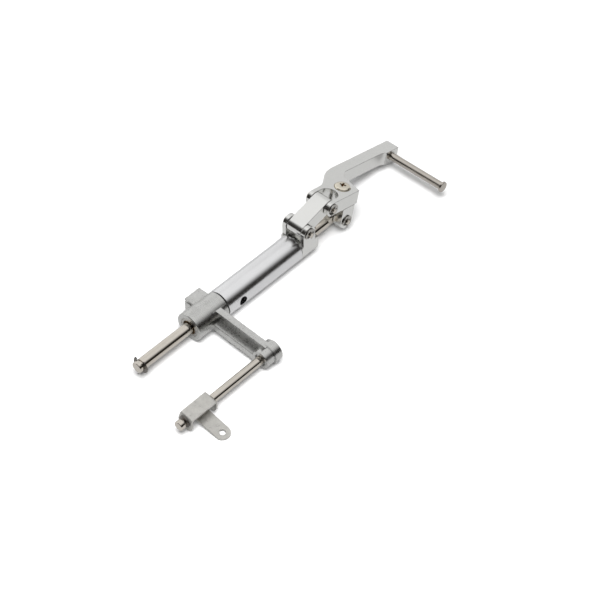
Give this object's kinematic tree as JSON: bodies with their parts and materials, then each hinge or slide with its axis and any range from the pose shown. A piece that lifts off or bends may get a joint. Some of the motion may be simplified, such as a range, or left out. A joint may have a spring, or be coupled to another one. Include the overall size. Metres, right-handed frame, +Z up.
{
  "type": "gate opener arm",
  "caption": "Push-rod arm: a rod slides through a tube with a cast crank and, by a short link, tips a cranked arm with a long end pin.",
  "frame": {"origin": "under the middle of the whole arm's box, on the surface it lies on", "axes": "+X along the tube towards the cranked arm, +Y across it on the side of the casting's square lug, +Z up"},
  "size_m": [0.2828, 0.0972, 0.037],
  "materials": {
    "satin_aluminium": "machined satin",
    "bright_tube": "bright drawn tube, fine marks along it",
    "die_cast": "grainy die casting with a faint parting line",
    "nickel_steel": "warm nickel plating",
    "spring_steel": "dark spring steel",
    "zinc_sheet": "mottled zinc plating",
    "yellow_zinc": "pale yellow zinc plating",
    "black_oxide": "black oxide",
    "bronze": "sintered bronze",
    "black_rubber": "black"
  },
  "bodies": {
    "body": {"tube": "bright_tube", "crank_casting": "die_cast", "seal_ring": "black_rubber", "front_bush": "bronze", "bush_retainer": "spring_steel", "clevis_end": "satin_aluminium", "clevis_bush": "bronze", "grub_screw_front": "black_oxide", "grub_screw_back": "black_oxide", "clevis_pin": "nickel_steel", "clevis_pin_clip": "spring_steel", "crank_shaft": "nickel_steel", "shaft_clip": "spring_steel"},
    "rod": {"push_rod": "nickel_steel", "rod_clip": "spring_steel"},
    "link": {"link_bar": "satin_aluminium"},
    "head": {"arm_plate": "satin_aluminium", "lug_block": "satin_aluminium", "lug_screw": "yellow_zinc", "end_pin": "nickel_steel", "head_pin": "nickel_steel", "head_pin_clip": "spring_steel", "lug_pin": "nickel_steel", "lug_pin_clip": "spring_steel"},
    "lever": {"tab_lever": "zinc_sheet"}
  },
  "joints": [
    {"name": "rod_slide", "type": "slide", "parent": "body", "child": "rod", "axis": [1, 0, 0], "range_m": [-0.01, 0.002]},
    {"name": "link_hinge", "type": "hinge", "parent": "body", "child": "link", "pos_m": [0.02479, 0.02803, 0.02551], "axis": [0, 1, 0], "range_deg": [-12, 3]},
    {"name": "head_hinge", "type": "hinge", "parent": "link", "child": "head", "pos_m": [0.04799, 0.02803, 0.03171], "axis": [0, 1, 0], "range_deg": [-7, 34]},
    {"name": "lever_hinge", "type": "hinge", "parent": "body", "child": "lever", "pos_m": [-0.12241, -0.02397, 0.00851], "axis": [1, 0, 0], "continuous": true}
  ],
  "couplings": [
    {"joint": "link_hinge", "follows": "rod_slide", "rad_per_m": 18.583},
    {"joint": "head_hinge", "follows": "rod_slide", "rad_per_m": -55.338}
  ]
}
